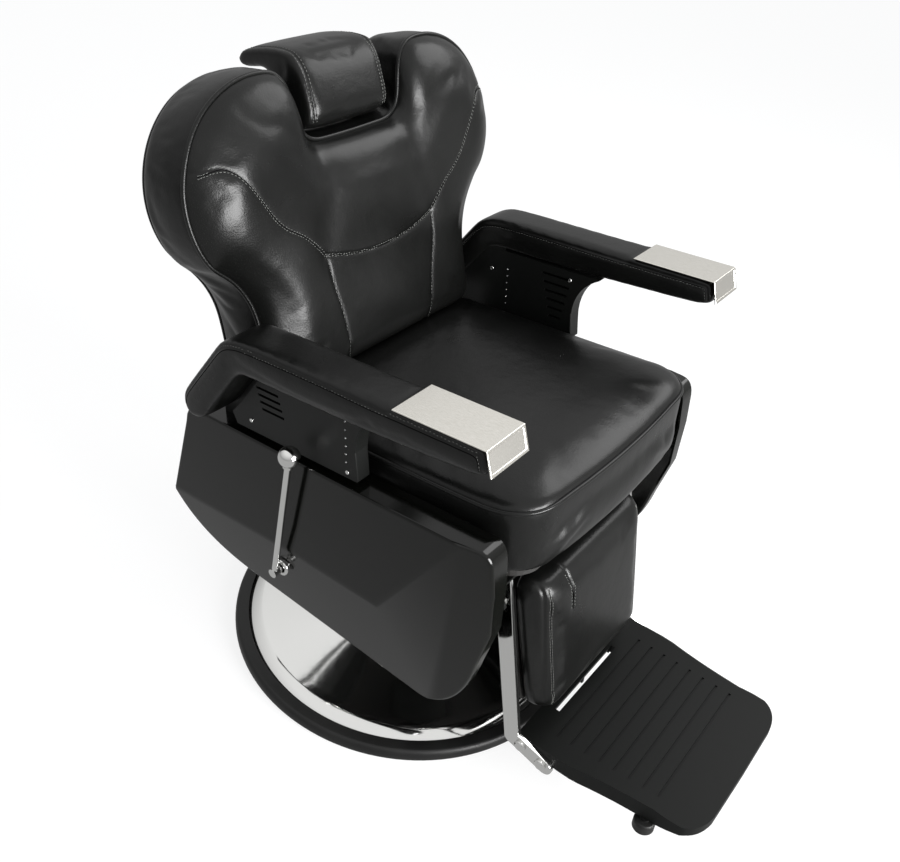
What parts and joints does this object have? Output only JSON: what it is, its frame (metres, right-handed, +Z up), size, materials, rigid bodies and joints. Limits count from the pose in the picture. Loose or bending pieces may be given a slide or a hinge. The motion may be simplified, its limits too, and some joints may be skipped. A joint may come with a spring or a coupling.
{
  "type": "hydraulic barber chair",
  "caption": "Reclining salon chair on a round chromed base with a foot-pumped lift, padded arms, side casings, headrest and leg rest with foot plate.",
  "frame": {"origin": "middle of the round base on the floor", "axes": "+Z up; the sitter faces -Y; the sitter's right hand is at -X"},
  "size_m": [0.6724, 1.0824, 0.9898],
  "materials": {
    "black_rubber": "matte black rubber",
    "chrome_dish": "polished chrome pressed steel",
    "cast_weight": "cast iron",
    "chrome_parts": "polished chrome",
    "plain_steel": "machined steel",
    "black_frame": "satin black powder coat",
    "plywood": "plywood",
    "black_vinyl": "glossy black vinyl upholstery",
    "casing_plastic": "glossy black moulded plastic",
    "panel_plastic": "satin black moulded plastic",
    "cap_steel": "brushed steel",
    "plate_paint": "satin black cast plate"
  },
  "bodies": {
    "base": {"base_ring": "black_rubber", "base_dish": "chrome_dish", "base_ballast": "cast_weight", "pump_cylinder": "chrome_parts", "pump_gland": "chrome_parts", "base_bolt_1": "plain_steel", "base_bolt_2": "plain_steel", "base_bolt_3": "plain_steel", "base_bolt_4": "plain_steel", "pedal_bracket": "black_frame"},
    "pedal": {"pedal_arm": "chrome_parts", "pedal_pad": "black_rubber"},
    "lift": {"pump_piston": "plain_steel"},
    "seat": {"pump_ram": "chrome_parts", "seat_hub": "black_frame", "seat_frame": "black_frame", "seat_board": "plywood", "seat_cushion": "black_vinyl", "casing_right": "casing_plastic", "casing_left": "casing_plastic", "lever_escutcheon": "chrome_parts", "gas_spring_body": "black_frame", "arm_support_right": "black_frame", "arm_support_left": "black_frame", "arm_panel_right": "panel_plastic", "arm_panel_left": "panel_plastic", "arm_pad_right": "black_vinyl", "arm_pad_left": "black_vinyl", "arm_cap_right": "cap_steel", "arm_cap_left": "cap_steel"},
    "lever": {"recline_lever": "chrome_parts", "lever_ball": "chrome_parts"},
    "back": {"back_frame": "black_frame", "back_shell": "casing_plastic", "back_cushion": "black_vinyl", "headrest_guide": "black_frame"},
    "clamp_knob": {"headrest_knob": "panel_plastic"},
    "headrest": {"headrest_bar": "chrome_parts", "headrest_cushion": "black_vinyl"},
    "leg_rest": {"leg_arm_right": "chrome_parts", "leg_arm_left": "chrome_parts", "leg_crossbar": "black_frame", "calf_board": "plywood", "calf_pad": "black_vinyl", "foot_plate": "plate_paint", "foot_bolt_right_1": "plain_steel", "foot_bolt_right_2": "plain_steel", "foot_bolt_left_1": "plain_steel", "foot_bolt_left_2": "plain_steel", "foot_bumper_right": "black_rubber", "foot_bumper_left": "black_rubber"},
    "link_right": {"link_bar_right": "black_frame"},
    "link_left": {"link_bar_left": "black_frame"},
    "gas_rod": {"gas_spring_rod": "chrome_parts"}
  },
  "joints": [
    {"name": "lift_slide", "type": "slide", "parent": "base", "child": "lift", "axis": [0, 0, 1], "range_m": [0, 0.16]},
    {"name": "pedal_hinge", "type": "hinge", "parent": "base", "child": "pedal", "pos_m": [0, 0.08, 0.088], "axis": [1, 0, 0], "range_deg": [-8, 0], "stiffness_Nm_per_rad": 20, "springref_deg": 20.05},
    {"name": "seat_turn", "type": "hinge", "parent": "lift", "child": "seat", "pos_m": [0, 0, 0.366], "axis": [0, 0, 1], "continuous": true},
    {"name": "recline", "type": "hinge", "parent": "seat", "child": "back", "pos_m": [0, 0.172, 0.44], "axis": [-1, 0, 0], "range_deg": [0, 45]},
    {"name": "leg_rest_swing", "type": "hinge", "parent": "seat", "child": "leg_rest", "pos_m": [0, -0.258, 0.44], "axis": [-1, 0, 0], "range_deg": [0, 45]},
    {"name": "link_right_pivot", "type": "hinge", "parent": "back", "child": "link_right", "pos_m": [0, 0.15749, 0.38178], "axis": [-1, 0, 0], "range_deg": [-45, 0]},
    {"name": "link_left_pivot", "type": "hinge", "parent": "back", "child": "link_left", "pos_m": [0, 0.15749, 0.38178], "axis": [-1, 0, 0], "range_deg": [-45, 0]},
    {"name": "gas_rod_slide", "type": "slide", "parent": "seat", "child": "gas_rod", "axis": [0, -1, 0], "range_m": [0, 0.04592]},
    {"name": "lever_pull", "type": "hinge", "parent": "seat", "child": "lever", "pos_m": [-0.3, 0.048, 0.31], "axis": [-1, 0, 0], "range_deg": [0, 8], "stiffness_Nm_per_rad": 8, "springref_deg": -20.05},
    {"name": "headrest_slide", "type": "slide", "parent": "back", "child": "headrest", "axis": [0, 0.2588, 0.9659], "range_m": [0, 0.09]},
    {"name": "clamp_knob_turn", "type": "hinge", "parent": "back", "child": "clamp_knob", "pos_m": [0, 0.33812, 0.80664], "axis": [0, 0.9659, -0.2588], "range_deg": [0, 180]}
  ],
  "couplings": [
    {"joint": "leg_rest_swing", "follows": "recline", "ratio": 1},
    {"joint": "link_right_pivot", "follows": "recline", "ratio": -1},
    {"joint": "link_left_pivot", "follows": "recline", "ratio": -1},
    {"joint": "gas_rod_slide", "follows": "recline", "m_per_rad": 0.05847}
  ]
}
